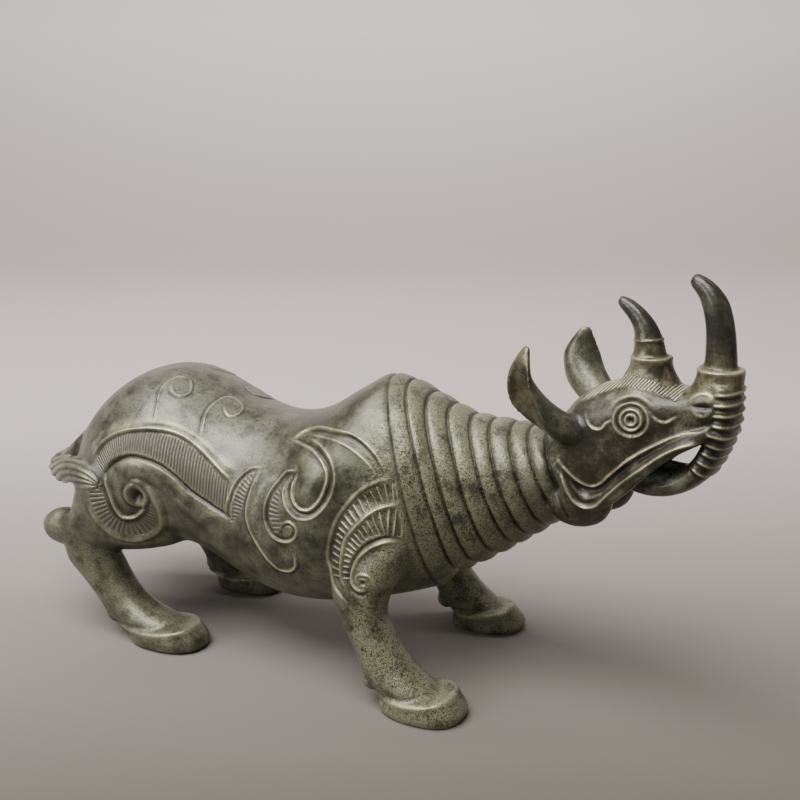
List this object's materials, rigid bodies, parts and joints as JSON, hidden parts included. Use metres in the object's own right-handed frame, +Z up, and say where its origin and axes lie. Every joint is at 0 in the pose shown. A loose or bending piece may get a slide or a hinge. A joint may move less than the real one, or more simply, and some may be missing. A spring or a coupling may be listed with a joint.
{
  "type": "bronze rhinoceros figure",
  "caption": "Cast bronze rhinoceros in the archaic manner, with a ringed neck, upright horns, scroll ornament on its flanks and a green-grey patina.",
  "frame": {"origin": "centre of the footprint box on the ground, under the soles", "axes": "+X towards the head along the body, +Z up, -Y the animal's right side, which the picture shows"},
  "size_m": [0.2494, 0.0836, 0.1372],
  "materials": {
    "bronze": "patinated"
  },
  "bodies": {
    "root": {"rhinoceros": "bronze"}
  },
  "joints": []
}
